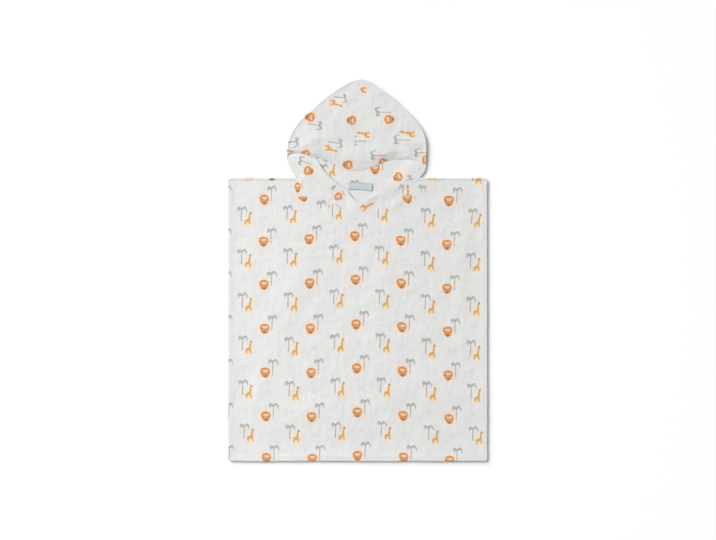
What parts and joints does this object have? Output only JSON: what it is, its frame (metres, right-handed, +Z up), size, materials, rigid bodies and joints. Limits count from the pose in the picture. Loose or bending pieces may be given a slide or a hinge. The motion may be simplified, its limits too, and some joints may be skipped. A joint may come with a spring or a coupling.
{
  "type": "hooded bath poncho",
  "caption": "Toddler's hooded bath poncho in printed muslin, laid flat with the hood folded over: straight body, turned hems, slit neck.",
  "frame": {"origin": "middle of the whole outline, body and hood together, on the surface the poncho lies on", "axes": "+Y from the body's hem towards the hood's peak, +X across the body to the right as seen from above, +Z up off the surface"},
  "size_m": [0.623, 0.918, 0.0076],
  "materials": {
    "printed_muslin": "matte",
    "label_tape": "matte"
  },
  "bodies": {
    "root": {"back": "printed_muslin", "front": "printed_muslin", "hood_left": "printed_muslin", "hood_right": "printed_muslin", "neck_label": "label_tape"}
  },
  "joints": []
}
